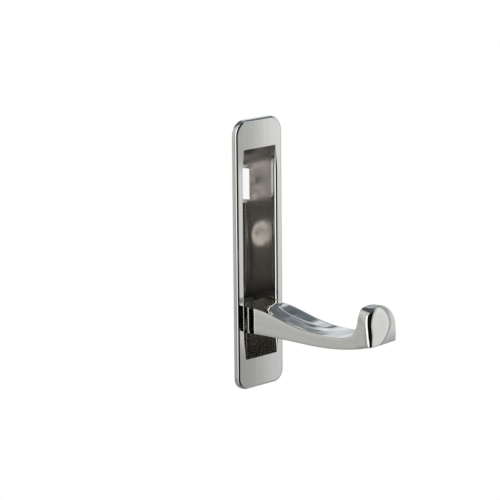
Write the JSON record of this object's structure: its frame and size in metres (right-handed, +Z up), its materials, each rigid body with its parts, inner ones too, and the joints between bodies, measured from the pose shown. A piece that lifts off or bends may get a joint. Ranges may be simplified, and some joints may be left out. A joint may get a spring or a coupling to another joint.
{
  "type": "retractable hook",
  "caption": "Flush-mounted folding coat hook: polished face plate with a tall window, a cast pocket behind it and a hook arm that folds up into the pocket on a horizontal pin.",
  "frame": {"origin": "centre of the panel's cut-out on the panel's surface, which is the middle of the face plate's back face", "axes": "+X to the right as the plate is seen, +Y into the panel, +Z up; the arm folds out towards -Y"},
  "size_m": [0.031, 0.1138, 0.134],
  "materials": {
    "polished_chrome": "polished chrome plate on die-cast zinc",
    "satin_zinc": "satin plated die-cast zinc",
    "plated_steel": "bright zinc-plated steel",
    "natural_nylon": "natural nylon",
    "black_rubber": "matt black rubber"
  },
  "bodies": {
    "housing": {"face_plate": "polished_chrome", "pocket_shell": "satin_zinc", "shell_screws": "plated_steel", "pivot_pin": "plated_steel", "thrust_washer": "natural_nylon", "spring_washer": "plated_steel", "stop_pin": "plated_steel", "stop_sleeve": "black_rubber", "stop_clip": "plated_steel", "prong_bumper": "black_rubber"},
    "hook": {"hook_arm": "polished_chrome", "bush_left": "natural_nylon", "bush_right": "natural_nylon"}
  },
  "joints": [
    {"name": "hook_fold", "type": "hinge", "parent": "housing", "child": "hook", "pos_m": [0, 0.0009, -0.0348], "axis": [-1, 0, 0], "range_deg": [0, 90]}
  ]
}
